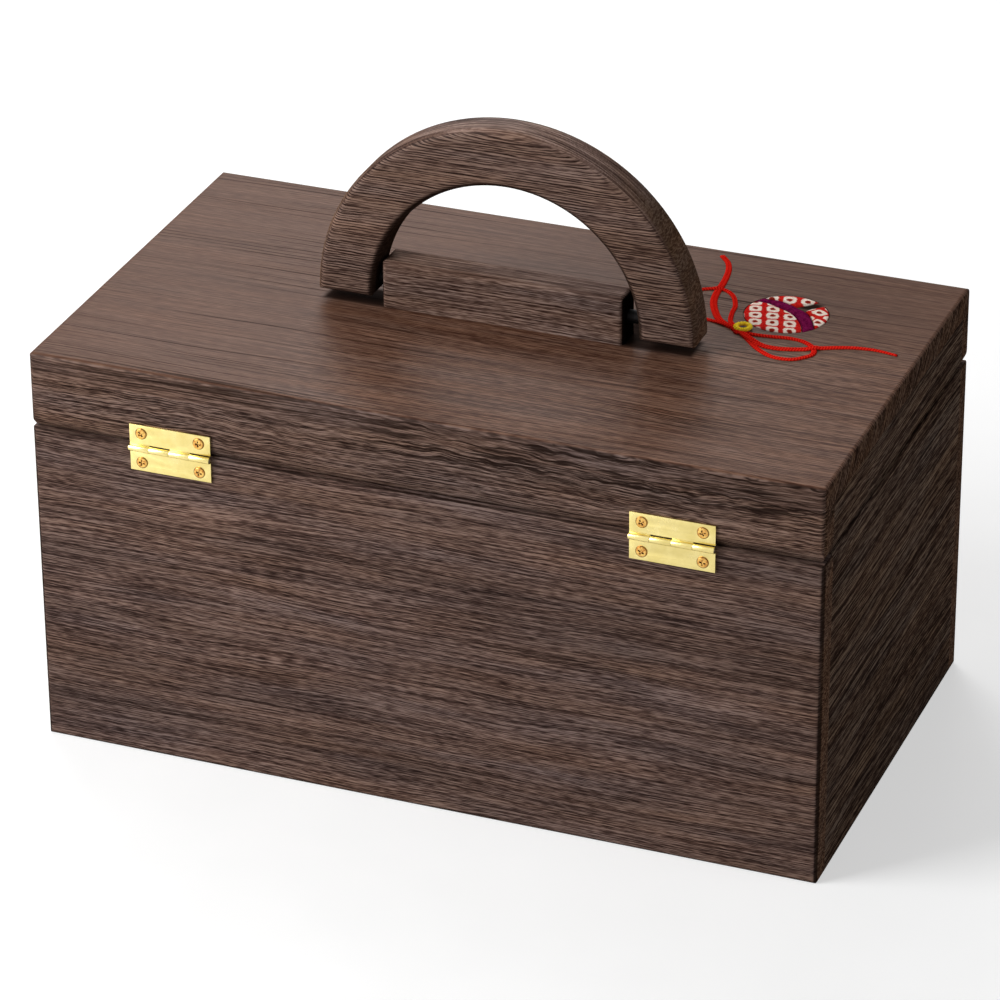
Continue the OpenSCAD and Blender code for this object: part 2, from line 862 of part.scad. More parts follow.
// A flat strand along a smooth curve through p, wide as w0 at its start and w1 at its end
module strand(p, w0 = cord_w, w1 = cord_w) {
    line = smooth(p);
    last = len(line) - 1;
    function side(i, s) =
        let (a = at(line, i - 1), b = at(line, i + 1), d = (b - a)/norm(b - a),
             w = w0 + (w1 - w0)*i/last)
        at(line, i) + s*w/2*[-d[1], d[0]];
    polygon(concat([for (i = [0 : last]) side(i, 1)], [for (i = [last : -1 : 0]) side(i, -1)]));
}

upper_tail = [[38.5, -39.5], [34.5, -34.5], [32, -27.5], [30.5, -17.5], [30, -8.5], [28.5, -0.5],
              [25, 7.5], [20.5, 14], knot];
loop_up = [knot, [17, 13.5], [19, 6.5], [20, -0.5], [23.5, -8], [28.5, -11.5], [35.5, -9.5]];
loop_down = [[35.5, -9.5], [40.5, -2.5], [38.5, 7.5], [30.5, 13], [21.5, 15.5], knot];
loop_out = [knot, [7, 24.5], [1.5, 30.5], [-6, 35.5], [-13, 35.5], [-17, 32.5], [-19.5, 28.5]];
loop_back = [[-19.5, 28.5], [-18, 23.5], [-13.5, 20], [-7.5, 19], [-0.5, 20], [6.5, 20.5], knot];
front_tail = [knot, [7.5, 23.5], [1.5, 27.5], [-5.5, 28.5], [-13.5, 26.5], [-18.5, 24], [-24.5, 21],
              [-31.5, 18.5], [-38.5, 17.5], [-43.5, 18], [-48.5, 19]];

module inlay_cord() {
    color("#cf1f1c") translate([ball_x, ball_y, box_h]) linear_extrude(cord_rise) {
        for (p = [upper_tail, loop_up, loop_down, loop_out, loop_back]) strand(p);
        strand(front_tail, cord_w, tail_w);
    }
}

body_front();
body_back();
body_left();
body_right();
body_bottom();
tray_ledge_left();
tray_ledge_right();
lid_top();
lid_front();
lid_back();
lid_left();
lid_right();
hinge_left_body_leaf();
hinge_left_lid_leaf();
hinge_left_pin();
hinge_right_body_leaf();
hinge_right_lid_leaf();
hinge_right_pin();
hinge_body_screws();
hinge_lid_screws();
handle_arch();
handle_block();
handle_pins();
handle_block_screws();
latch_lid_plate();
latch_rivet();
latch_hook();
latch_lid_screws();
latch_body_plate();
latch_knob();
latch_body_screws();
tray_front();
tray_back();
tray_left();
tray_right();
tray_base_panel();
tray_cross_divider();
tray_left_divider();
tray_right_divider();
inlay_ball_front();
inlay_ball_band();
inlay_ball_back();
inlay_ball_side();
inlay_ring();
inlay_cord();
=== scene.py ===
"""A dark wooden sewing box with brass hinges, an arched handle and an inlaid cloth ball."""

import json
import math

import bmesh
import bpy
import numpy as np
from mathutils import Matrix, Vector, noise


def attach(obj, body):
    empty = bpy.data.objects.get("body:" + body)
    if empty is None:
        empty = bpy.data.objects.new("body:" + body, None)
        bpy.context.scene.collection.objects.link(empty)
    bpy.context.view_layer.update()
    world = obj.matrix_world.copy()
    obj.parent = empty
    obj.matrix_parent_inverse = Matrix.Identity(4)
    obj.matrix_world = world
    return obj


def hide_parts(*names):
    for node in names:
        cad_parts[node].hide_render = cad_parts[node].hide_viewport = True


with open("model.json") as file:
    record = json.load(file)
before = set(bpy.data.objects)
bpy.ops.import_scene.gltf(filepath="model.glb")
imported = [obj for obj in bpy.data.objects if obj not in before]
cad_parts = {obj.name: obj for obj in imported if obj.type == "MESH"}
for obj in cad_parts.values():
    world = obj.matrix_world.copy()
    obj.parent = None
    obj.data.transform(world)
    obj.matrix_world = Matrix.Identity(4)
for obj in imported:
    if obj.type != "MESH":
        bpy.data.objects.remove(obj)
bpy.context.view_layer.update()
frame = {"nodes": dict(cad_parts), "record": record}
nodes = frame["nodes"]
body_of = {node: body for body, held in frame["record"]["behaviour"]["bodies"].items()
           for node in held}

MM = 0.001

# Where the photograph was taken from
EYE = Vector((-0.59906, 1.52983, 0.95320))
AIM = Vector((0.32352, -0.82282, -0.46722))
ROLL = -math.radians(0.397)
LENS = 178.4
SENSOR_W = 36

# The lamps: place and aim in metres, size in metres, power in watts
LAMPS = {
    "key": ((0.77, 0.62, 0.9), (0, 0, 0.1), 0.62, 10.3),
    "fill": ((0.75, 0.7, 0.42), (0, 0, 0.1), 0.6, 5.2),
    "side": ((-1.4, 0.1, 0.8), (0, 0, 0.1), 0.8, 3.0),
    "sheen": ((0.39, -0.74, 0.58), (0.1, 0, 0.16), 0.4, 2.5),
    "far": ((0.8, -1.4, 1.85), (0, 0, 0.1), 1.4, 16),
}
WORLD_LIGHT = 0.2
FLOOR_GLOW = 0.5
FLOOR_GREYS = (0.54, 0.54, 0.54, 1), (0.56, 0.56, 0.56, 1)

# The box, in mm
BOX_W = 305
BOX_D = 173
BOX_H = 160
SEAM_Z = 130.4
BOARD = 9

# The hinges and the latch, in mm. A leaf's screws are measured across from the hinge's middle and
# up or down from its pin, a plate's screws from the box's middle and from the seam
HINGE_X = BOX_W / 2 - 56
HINGE_Z = SEAM_Z - 1
LEAF_T = 0.8
LEAF_SCREW = (11.4, 5.85)
PLATE_SCREW = (8.6, 13.0)
PLATE_HEAD_BASE = 0.2
PLATE_HEAD_H = 0.45
SOFT_EDGE = 0.12

# The handle, in mm: the x and z of its arch's axis, the arch's radii, its y and its block's ends
ARCH_MIDDLE = (-2.2, 163.6)
ARCH_INNER = 51.9
ARCH_OUTER = 74.3
HANDLE_Y = -1.1
BLOCK_ENDS = (-48.2, 46.8)

# The cloth ball, in mm: its middle, its radius and the depth of its pocket in the lid's top
BALL = (57 - BOX_W / 2, 46 - BOX_D / 2)
BALL_R = 16.0
POCKET = 0.6

# The cloth, in mm: its height over the lid at its tucked edge and just inside the ball's rim, how
# much higher it swells in the ball's middle, how far in from its edge it rises, the step of its
# mesh, and the gaps that it keeps to the rim, to its neighbours' grooves and to the pocket's floor
CLOTH_EDGE = -0.42
CLOTH_RIM = 0.42
CLOTH_SWELL = 0.5
CLOTH_SLOPE = 1.7
CLOTH_STEP = 0.32
RIM_GAP = 0.1
GROOVE_GAP = 0.05
POCKET_GAP = 0.03

# The lines between the patches, in parts of the ball's radius, with its far side at +Y
BAND_NEAR = [(1.3, 0.42), (0.94, 0.42), (0.57, 0.4), (0.2, 0.22), (-0.17, 0), (-0.48, -0.4),
             (-0.66, -0.85), (-0.8, -1.3)]
BAND_FAR = [(1.3, 0.95), (0.94, 0.72), (0.63, 0.62), (0.3, 0.6), (-0.08, 0.42), (-0.42, 0.22),
            (-0.65, -0.1), (-0.86, -0.56), (-1.1, -1.1)]
GAP_LINE = [(-0.05, 0.36), (-0.35, 0.62), (-0.72, 1.1)]
GAP_SIDE = [(-0.36, 0.26), (-0.46, 0.46), (-0.86, 0.84)]

# The cord and its ring, in mm, with their places measured from the ball's middle. The tails narrow
# over their last TAIL_TAPER. Where a strand crosses one laid before, it climbs: by CROSS_LIFT
# nearer than CROSS_NEAR, and not at all CROSS_SLOPE further out
RING_AT = (11, 17.4)
RING_LIFT = 1.08
KNOT = (12.5, 19.0)
CORD_W = 2.8
CORD_T = 0.58
CORD_GAP = 0.02
CORD_STEP = 0.55
BRAID_PITCH = 1.1
LOOP_W = {"loop_up": 1.9, "loop_out": 2.1}
TAIL_END_W = {"upper_tail": 2.1, "front_tail": 1.0}
TAIL_TAPER = 30
CROSS_LIFT = 0.46
CROSS_NEAR = 1.1
CROSS_SLOPE = 2.4

CORD_ROUTES = {
    "upper_tail": [(38.5, -39.5), (34.5, -34.5), (32, -27.5), (30.5, -17.5), (30, -8.5),
                   (28.5, -0.5), (25, 7.5), (20.5, 14), KNOT],
    "loop_up": [KNOT, (17, 13.5), (19, 6.5), (20, -0.5), (23.5, -8), (28.5, -11.5), (35.5, -9.5),
                (40.5, -2.5), (38.5, 7.5), (30.5, 13), (21.5, 15.5), KNOT],
    "loop_out": [KNOT, (7, 24.5), (1.5, 30.5), (-6, 35.5), (-13, 35.5), (-17, 32.5), (-19.5, 28.5),
                 (-18, 23.5), (-13.5, 20), (-7.5, 19), (-0.5, 20), (6.5, 20.5), KNOT],
    "front_tail": [KNOT, (7.5, 23.5), (1.5, 27.5), (-5.5, 28.5), (-13.5, 26.5), (-18.5, 24),
                   (-24.5, 21), (-31.5, 18.5), (-38.5, 17.5), (-43.5, 18), (-48.5, 19)],
}

# The two short turns over the knot: each one's middle, measured from the knot, and half its run
KNOT_WRAPS = [((-1.2, 1.0), (1.265, 2.07)), ((0.6, -0.4), (1.265, 1.38))]
WRAP_W = 1.9
WRAP_T = 0.62
WRAP_LIFT = 0.5
WRAP_STEP = 0.4


# Node trees written as expressions


class Value:
    """A number in a tree. Arithmetic on it adds Math nodes."""

    def __init__(self, tree, socket):
        self.tree = tree
        self.socket = socket

    def math(self, operation, *others):
        sockets = dict(enumerate((self, *others)))
        return self.tree.node("ShaderNodeMath", {"operation": operation}, sockets)

    def __add__(self, other):
        return self.math("ADD", other)

    def __sub__(self, other):
        return self.math("SUBTRACT", other)

    def __mul__(self, other):
        return self.math("MULTIPLY", other)

    def __truediv__(self, other):
        return self.math("DIVIDE", other)

    def __pow__(self, other):
        return self.math("POWER", other)

    def __rsub__(self, other):
        return self.math("MULTIPLY_ADD", -1.0, other)

    __radd__ = __add__
    __rmul__ = __mul__

    def abs(self):
        return self.math("ABSOLUTE")

    def root(self):
        return self.math("SQRT")

    def fract(self):
        return self.math("FRACT")

    def larger(self, other):
        return self.math("MAXIMUM", other)

    def rise(self, low, high):
        """0 below low, 1 above high and a smooth step between. It falls where low is the higher."""
        settings = {"interpolation_type": "SMOOTHSTEP"}
        sockets = {"Value": self, "From Min": low, "From Max": high}
        return self.tree.node("ShaderNodeMapRange", settings, sockets)


class Tree:
    """A node tree that is fed by expressions."""

    def __init__(self, tree):
        self.tree = tree

    def node(self, kind, settings, sockets, output=0):
        made = self.tree.nodes.new(kind)
        for key, value in settings.items():
            setattr(made, key, value)
        for key, value in sockets.items():
            for one in value if isinstance(value, list) else [value]:
                self.feed(made.inputs[key], one)
        return Value(self, made.outputs[output])

    def feed(self, socket, value):
        if isinstance(value, Value):
            self.tree.links.new(value.socket, socket)
        else:
            socket.default_value = value

    def vector(self, x, y, z):
        return self.node("ShaderNodeCombineXYZ", {}, {"X": x, "Y": y, "Z": z})

    def split(self, vector):
        made = self.node("ShaderNodeSeparateXYZ", {}, {"Vector": vector})
        return [Value(self, socket) for socket in made.socket.node.outputs]


class Finish(Tree):
    """A material with one Principled shader."""

    def __init__(self, name, **fixed):
        self.material = bpy.data.materials.new(name)
        self.material.use_nodes = True
        super().__init__(self.material.node_tree)
        self.shader = self.tree.nodes["Principled BSDF"]
        for socket, value in fixed.items():
            self.shader.inputs[socket.replace("_", " ")].default_value = value

    def place(self, source="Object"):
        """The three coordinates of a point: in mm for Object, as they are for UV."""
        scale = 1 / MM if source == "Object" else 1
        coordinates = self.node("ShaderNodeTexCoord", {}, {}, source)
        sockets = {"Vector": coordinates, "Scale": (scale,) * 3}
        return self.split(self.node("ShaderNodeMapping", {}, sockets))

    def facing(self):
        """How far the surface faces along x, y and z, each from -1 to 1."""
        return self.split(self.node("ShaderNodeTexCoord", {}, {}, "Normal"))

    def noise(self, point, detail=2.0, roughness=0.5):
        """Noise in grains about one unit across, from 0 to 1 with its middle at 0.5."""
        sockets = {"Vector": self.vector(*point), "Scale": 1.0, "Detail": detail,
                   "Roughness": roughness}
        return self.node("ShaderNodeTexNoise", {"noise_dimensions": "3D"}, sockets)

    def mix(self, share, first, second, blend="MIX"):
        settings = {"data_type": "RGBA", "blend_type": blend}
        return self.node("ShaderNodeMix", settings, {0: share, 6: first, 7: second}, 2)

    def ramp(self, value, *stops):
        """A colour that goes through the stops, each a place from 0 to 1 and a colour."""
        colour = self.node("ShaderNodeValToRGB", {}, {"Fac": value})
        band = colour.socket.node.color_ramp
        for element, (where, shade) in zip(band.elements, (stops[0], stops[-1])):
            element.position, element.color = where, shade
        for where, shade in stops[1:-1]:
            band.elements.new(where).color = shade
        return colour

    def set(self, colour, roughness=None, relief=None, depth=0.0, coat=None):
        """Feeds the shader. relief is a height from 0 to 1 that stands depth mm high."""
        fed = {"Base Color": colour, "Roughness": roughness, "Coat Weight": coat}
        if relief is not None:
            sockets = {"Strength": 1.0, "Distance": depth * MM, "Height": relief}
            fed["Normal"] = self.node("ShaderNodeBump", {}, sockets)
        for name, value in fed.items():
            if value is not None:
                self.feed(self.shader.inputs[name], value)
        return self.material


def rgb(red, green, blue):
    """A colour as it is seen on a screen, from 0 to 255, as the shader's linear numbers."""
    parts = [value / 255 for value in (red, green, blue)]
    linear = [p / 12.92 if p <= 0.04045 else ((p + 0.055) / 1.055) ** 2.4 for p in parts]
    return (*linear, 1.0)


# Wood

# The tones of each face: its grooves, its body and its ridges
BACK_TONES = rgb(38, 25, 21), rgb(84, 64, 57), rgb(130, 107, 97)
LID_TONES = rgb(36, 23, 19), rgb(85, 64, 55), rgb(138, 113, 101)
# The ends' tones are darker than the back's: partly the boards' own tone, partly painted shade
SIDE_SHADED_TONES = rgb(30, 21, 17), rgb(62, 46, 39), rgb(118, 99, 84)
TOP_TONES = rgb(58, 34, 24), rgb(90, 62, 48), rgb(122, 92, 76)
EDGE_TONES = rgb(54, 38, 31), rgb(85, 65, 57), rgb(122, 100, 91)
END_TONES = rgb(50, 35, 27), rgb(82, 60, 48), rgb(114, 90, 74)
ARCH_TONES = rgb(32, 19, 15), rgb(75, 56, 49), rgb(131, 107, 95)
# Lighter tones on the arch's up-facing faces: a painted highlight
ARCH_HIGHLIGHT_TONES = rgb(48, 33, 28), rgb(102, 80, 71), rgb(152, 128, 117)
ARCH_END_TONES = rgb(70, 51, 40), rgb(90, 69, 56), rgb(110, 89, 74)
BLOCK_TONES = rgb(42, 27, 22), rgb(90, 69, 60), rgb(138, 114, 102)
# The block's end grain, painted near black as the shade of the narrow gap to the legs
BLOCK_END_SHADE_TONES = rgb(14, 9, 7), rgb(22, 15, 12), rgb(32, 23, 19)
# The colour of char, and of painted shade
CHAR_AND_SHADE = rgb(30, 20, 16)

# Where the grain fades on the lid's top along x and along y, and where dark wavy lines come up on
# the lid's boards along x and along z: a start and an end for each, in mm
TOP_FADE = (30, 80, 0, -45)
BOLD_LINES = (60, -10, 139, 148)


class BurntWood(Finish):
    """Dark wood, burnt and brushed so that its grain stands up in fine ridges.

    along is the axis of the grain, rings the axis across which the ridges follow each other, and
    lean is how far the rings tilt. pitch is the width of a ridge in mm, bend and figure are how
    far, in mm, the lines swing in long and in short waves.
    """

    def __init__(self, name, along, rings, pitch=0.6, lean=0.9, bend=7.0, figure=0.0):
        super().__init__(name, Specular_IOR_Level=0.0, Coat_Roughness=0.42)
        self.axes = dict(zip("xyz", self.place()))
        self.normal = dict(zip("xyz", self.facing()))
        self.pitch = pitch
        self.length = self.axes[along]
        self.rest = self.axes[next(axis for axis in "xyz" if axis not in (along, rings))]
        self.across = self.axes[rings] + self.rest * lean
        swing = (self.grain(115, 24, 24, 1.0) - 0.5) * bend
        if figure:
            patch = self.grain(60, 30, 30, 0.0).rise(0.42, 0.62)
            swing = swing + (self.grain(13, 6, 8, 1.0) - 0.5) * patch * figure
        self.across = self.across + swing
        self.ridges = self.grain(35, pitch, 6, 3.0, 0.55)
        self.pores = self.noise((self.length / 3, self.axes[rings] / 0.5, self.rest / 1.8), 1.0)
        self.clouds = self.grain(60, 35, 35)
        self.up = self.normal["z"].rise(0.55, 0.85)
        self.cut = self.normal[along].abs().rise(0.55, 0.8)
        self.fade = 0.0

    def grain(self, long, wide, deep, detail=2.0, roughness=0.5):
        """Noise whose grains are so many mm long, wide and deep in the wood's own directions."""
        point = self.length / long, self.across / wide, self.rest / deep
        return self.noise(point, detail, roughness)

    def brush(self, lines=0.0, ribs=0.0, wrap=False, fade_zone=None):
        """Raises the grain, with lines and ribs as the shares of thin lines and of even ribs in it.

        With wrap the lines of the sides go on round the piece. The grain of the top fades where
        the last argument says.
        """
        fibres = self.grain(5, self.pitch * 0.62, 0.9, 1.0)
        relief = self.ridges * 0.55 + fibres * 0.45
        if lines:
            thin = self.grain(130, self.pitch * 1.9, 30, 1.0)
            relief = relief * (1 - lines) + thin * lines
        if ribs:
            wave = (self.grain(24, 3.5, 9, 1.0) - 0.5) * 2.2
            rows = (self.across / (self.pitch * 2.3) + wave).fract()
            rib = ((rows - 0.5).abs() * 2).rise(0.95, 0.35)
            relief = relief * (1 - ribs) + (rib * 0.5 + 0.25) * ribs
        if wrap:
            x, y, z = self.axes.values()
            turned = self.normal["y"].abs().rise(0.95, 0.55)
            bent = self.noise((x / 30, y / 0.8, z / 30), 3.0, 0.6)
            relief = relief * (1 - turned) + (bent * 0.52 + fibres * 0.13 + 0.175) * turned
        if fade_zone:
            fading = self.axes["x"].rise(*fade_zone[:2]).larger(self.axes["y"].rise(*fade_zone[2:]))
            self.fade = fading * self.up * 0.62
            relief = relief * (1 - self.fade) + self.fade * 0.5
        self.relief = relief
        return self

    def shaded(self, tones, value, contrast):
        """The tones laid over a value that has its middle at 0.5."""
        groove, body, ridge = tones
        spread = 0.14 / contrast
        return self.ramp(value, (0.5 - spread, groove), (0.5, body), (0.5 + spread, ridge))

    def stain(self, tones, flat=None, ends=END_TONES, contrast=1.5, bands=0.9, clouding=0.5):
        """Colours the wood. flat are the tones of faces that look up, ends those of end grain.

        bands and clouding are how much the tone changes across the grain and from place to place.
        """
        colour = self.shaded(tones, self.relief, contrast)
        if flat:
            colour = self.mix(self.up, colour, self.shaded(flat, self.relief, contrast))
        end_grain = self.ridges * 0.4 + self.pores * 0.6
        colour = self.mix(self.cut, colour, self.shaded(ends, end_grain, contrast))
        sharp = 1 - self.fade * 0.9
        broad = self.grain(190, 8, 25, 2.0, 0.6)
        tone = ((broad - 0.5) * bands + (self.clouds - 0.5) * clouding) * sharp + 1.0
        hue = (self.grain(70, 9, 20) - 0.5) * sharp
        warm = self.vector(tone * (1 + hue * 0.3), tone, tone * (1 - hue * 0.4))
        self.colour = self.mix(1.0, colour, warm, "MULTIPLY")
        return self

    def burn_and_shade(self, edges, scores=0.0, bold=None, arch=None, painted_shade=()):
        """Chars the wood (its edges, hair lines as dark as scores, wavy lines where bold says) and
        lays painted shade on it.

        arch is the x and z, in mm, of the axis round which the piece is bent: faces that look
        towards it are darkened. The last argument lists rectangles of painted shade on the top:
        low x, high x, low y and high y, in mm.
        """
        x, y, z = self.axes.values()
        side_x, side_y, side_z = (part.abs() for part in self.normal.values())
        char_and_shade = side_x.larger(side_y).larger(side_z).rise(0.985, 0.86) * edges
        char_and_shade = char_and_shade * self.clouds.rise(0.15, 0.5)
        if scores:
            hair = self.grain(170, 0.75, 40, 0.0).rise(0.33, 0.25)
            char_and_shade = char_and_shade.larger(hair * scores)
        if bold:
            wave = (self.grain(11, 8, 9, 1.0) - 0.5) * 3.5
            point = self.length / 24, (self.across + wave) / 0.75, self.rest / 9
            stripe = self.noise(point).rise(0.53, 0.4)
            where = x.rise(*bold[:2]) * z.rise(*bold[2:]) * (1 - self.up)
            char_and_shade = char_and_shade.larger(stripe * where * 0.9)
        # Darker on the faces that look towards the arch's axis
        if arch:
            inward = self.normal["x"] * (arch[0] - x) + self.normal["z"] * (arch[1] - z)
            char_and_shade = char_and_shade.larger(inward.rise(8, 34) * 0.8)
        # Painted shade: dark rectangles on the top, where shade falls under the handle and in the
        # ball's cleft
        for low_x, high_x, low_y, high_y in painted_shade:
            over_x = (x - (low_x + high_x) / 2).abs() - (high_x - low_x) / 2
            over_y = (y - (low_y + high_y) / 2).abs() - (high_y - low_y) / 2
            char_and_shade = char_and_shade.larger(over_x.larger(over_y).rise(1.6, -1.2) * self.up * 0.93)
        self.char_and_shade = char_and_shade
        self.colour = self.mix(char_and_shade, self.colour, CHAR_AND_SHADE)
        return self

    def leave_bare(self, bare):
        """Leaves the wood pale and planed where bare is 1."""
        plain = self.ramp(self.grain(80, 1.6, 20), (0.3, rgb(176, 146, 112)),
                          (0.7, rgb(206, 180, 146)))
        self.colour = self.mix(bare, self.colour, plain)
        return self

    def bare_inside(self, axis, distance):
        """Leaves a board bare on its inner face, distance mm from the box's middle along axis."""
        return self.leave_bare(self.axes[axis].abs().rise(distance + 0.05, distance - 0.05))

    def bare_under(self):
        """Leaves the faces bare that look down."""
        return self.leave_bare(self.normal["z"].rise(-0.6, -0.9))

    def done(self, depth=0.3, wax=0.1):
        """The material, with its grain depth mm high and wax as the share of wax on it."""
        roughness = 0.7 - self.relief.rise(0.35, 0.7) * 0.14
        coat = (1 - self.cut) * (1 - self.char_and_shade) * wax
        return self.set(self.colour, roughness, self.relief, depth, coat)


def plain_wood(name, along):
    """Pale planed wood with straight fine grain."""
    f = Finish(name, Specular_IOR_Level=0.3)
    axes = dict(zip("xyz", f.place()))
    length = axes.pop(along)
    first, second = axes.values()
    swing = (f.noise((length / 90, first / 25, second / 25), 1.0) - 0.5) * 6
    streaks = f.noise((length / 90, (first + second * 0.7 + swing) / 1.7, second / 14), 2.0, 0.6)
    pores = f.noise((length / 5, first / 0.35, second / 0.35), 0.0).rise(0.72, 0.8)
    bands = f.noise((length / 150, (first + second + swing) / 11, second / 30), 1.0)
    pale = f.ramp(streaks * 0.6 + bands * 0.4, (0.35, rgb(168, 134, 98)),
                  (0.65, rgb(212, 186, 150)))
    colour = f.mix(pores * 0.35, pale, rgb(120, 88, 60))
    return f.set(colour, 0.62 - streaks * 0.12, streaks - pores * 0.4, 0.05)


def painted_shade_spots():
    """Rectangles on the lid that the photograph shows black, each low x, high x, low y and high y.

    They are painted shade, under the arch's legs, at the block's ends and in the cleft between the
    cloth patches.
    """
    arch_x = ARCH_MIDDLE[0]
    at_handle = [(arch_x + ARCH_INNER - 6, arch_x + ARCH_OUTER - 2, 6.5),
                 (arch_x - ARCH_OUTER + 2, arch_x - ARCH_INNER + 6, 6.5),
                 (BLOCK_ENDS[1] - 2, BLOCK_ENDS[1] + 3, 11),
                 (BLOCK_ENDS[0] - 6, BLOCK_ENDS[0] + 3, 14)]
    spots = [(low, high, HANDLE_Y - deep, HANDLE_Y + 6.5) for low, high, deep in at_handle]
    return spots + [(BALL[0] - 10, BALL[0] - 3, BALL[1] - 12, BALL[1] - 6.5)]


# Metal


def polished_brass(name):
    """Bright yellow brass with faint roll marks and a breath of tarnish."""
    f = Finish(name, Metallic=1.0)
    x, y, z = f.place()
    marks = f.noise((x / 14, y / 0.12, z / 0.12))
    tarnish = f.noise((x / 6, y / 6, z / 6), 3.0, 0.6)
    colour = f.ramp(tarnish, (0.35, rgb(228, 208, 132)), (0.7, rgb(240, 222, 152)))
    return f.set(colour, 0.2 + tarnish * 0.12, marks, 0.008)


def screw_brass(name):
    """Brass of the screws: redder than the leaves, with painted shade where the attribute dark is
    1.
    """
    f = Finish(name, Metallic=1.0)
    x, y, z = f.place()
    spots = f.noise((x / 0.9, y / 0.9, z / 0.9), 3.0, 0.6)
    colour = f.ramp(spots, (0.3, rgb(184, 112, 46)), (0.6, rgb(240, 196, 110)))
    dark = f.node("ShaderNodeAttribute", {"attribute_name": "dark"}, {}, "Fac")
    # Painted shade on the head's rim and in the cross recess
    colour = f.mix(dark * 0.85, colour, rgb(76, 38, 14))
    return f.set(colour, 0.16 + spots * 0.14, spots, 0.02)


def dark_steel(name):
    """Steel painted near black: the shade of the narrow gap between the block and the legs, where
    the pins show.
    """
    f = Finish(name, Metallic=1.0)
    x, y, z = f.place()
    marks = f.noise((x / 0.2, y / 3, z / 3))
    colour = f.ramp(marks, (0.3, rgb(20, 19, 19)), (0.7, rgb(40, 38, 38)))
    return f.set(colour, 0.5 + marks * 0.2, marks, 0.02)


def bright_steel(name):
    """Plated steel of the screws inside the lid and of the hinges' pins."""
    f = Finish(name, Metallic=1.0)
    x, y, z = f.place()
    marks = f.noise((x / 2, y / 2, z / 0.3))
    colour = f.ramp(marks, (0.3, rgb(170, 168, 160)), (0.7, rgb(214, 212, 206)))
    return f.set(colour, 0.22 + marks * 0.15, marks, 0.01)


# Cloth and cord


def printed_cloth(name):
    """Red cloth with rows of soft white square rings. The UV map counts the print's cells."""
    f = Finish(name, Specular_IOR_Level=0.0)
    x, y, z = f.place()
    u, v, _ = f.place("UV")
    wobble = (f.noise((x / 1.1, y / 1.1, z / 1.1)) - 0.5) * 0.16
    column = (u + 0.5 + wobble).fract() - 0.5
    row = (v + 0.5 - wobble).fract() - 0.5
    wide = (column / 0.37).abs()
    tall = (row / 0.44).abs()
    square = (wide ** 3.5 + tall ** 3.5) ** (1 / 3.5)
    dot = ((column / 0.17) ** 2 + ((row + 0.03) / 0.19) ** 2).root()
    white = square.rise(1.06, 0.9) * dot.rise(0.8, 1.15)
    warp = f.noise((x / 0.22, y / 1.6, z / 1.6), 1.0)
    weft = f.noise((x / 1.6, y / 0.22, z / 1.6), 1.0)
    threads = warp * 0.5 + weft * 0.5
    red = f.ramp(threads, (0.36, rgb(176, 18, 20)), (0.62, rgb(226, 46, 38)))
    cream = f.ramp(threads, (0.36, rgb(238, 206, 186)), (0.62, rgb(255, 246, 234)))
    inside = dot.rise(1.15, 0.6)
    colour = f.mix(white, f.mix(inside * 0.75, red, rgb(112, 40, 26)), cream)
    # Painted shade: the cloth turns dark red where it dips into the groove below the lid's top
    tucked = z.rise(BOX_H + 0.2, BOX_H - 0.15)
    colour = f.mix(tucked * 0.8, colour, rgb(72, 20, 14))
    return f.set(colour, 0.85, threads, 0.07)


def purple_weave(name):
    """Dark purple crinkled cloth."""
    f = Finish(name, Specular_IOR_Level=0.0)
    x, y, z = f.place()
    crinkle = f.noise((x / 1.6, y / 1.6, z / 1.6), 3.0, 0.6)
    warp = f.noise(((x + y) / 0.24, (x - y) / 1.3, z), 1.0)
    weft = f.noise(((x + y) / 1.3, (x - y) / 0.24, z), 1.0)
    relief = crinkle * 0.4 + warp * 0.3 + weft * 0.3
    colour = f.ramp(relief, (0.36, rgb(70, 6, 40)), (0.5, rgb(112, 18, 66)),
                    (0.66, rgb(142, 34, 88)))
    return f.set(colour, 0.8, relief, 0.1)


def braid(name):
    """A flat braided red cord. Its UV map is the distance along it and across it, in mm."""
    f = Finish(name, Specular_IOR_Level=0.0)
    along, across, _ = f.place("UV")
    side = (across / CORD_W).abs()
    plait = ((along + side * 1.6) / BRAID_PITCH).fract()
    strand = ((plait - 0.5).abs() * 2).rise(1.0, 0.2)
    threads = f.noise(((along - side * 1.4) / 0.35, across / 0.16, 0.0))
    relief = strand * 0.4 + threads * 0.4 + 0.12 - side.rise(0.16, 0.0) * 0.14
    colour = f.ramp(relief, (0.22, rgb(142, 5, 4)), (0.5, rgb(202, 22, 14)),
                    (0.8, rgb(226, 46, 33)))
    return f.set(colour, 0.55 + threads * 0.2, relief, 0.07)


def gold_thread(name):
    """Twisted yellow silk, whose threads run round the strands."""
    f = Finish(name, Specular_IOR_Level=0.0)
    x, y, z = f.place()
    threads = f.noise((x / 0.3, y / 0.3, z / 0.16), 3.0, 0.6)
    colour = f.ramp(threads, (0.32, rgb(212, 156, 12)), (0.5, rgb(252, 214, 30)),
                    (0.68, rgb(255, 240, 100)))
    return f.set(colour, 0.5, threads, 0.1)


# The finishes

inside_y = BOX_D / 2 - BOARD
inside_x = BOX_W / 2 - BOARD

wood_body_long = (BurntWood("burnt_wood_body_long", "x", "z", pitch=0.46)
                  .brush().stain(BACK_TONES).burn_and_shade(0.85).bare_inside("y", inside_y).done())
wood_lid_long = (BurntWood("burnt_wood_lid_long", "x", "z", pitch=0.42, figure=2.4)
                 .brush().stain(LID_TONES, contrast=1.7).burn_and_shade(0.3, bold=BOLD_LINES)
                 .bare_inside("y", inside_y).done())
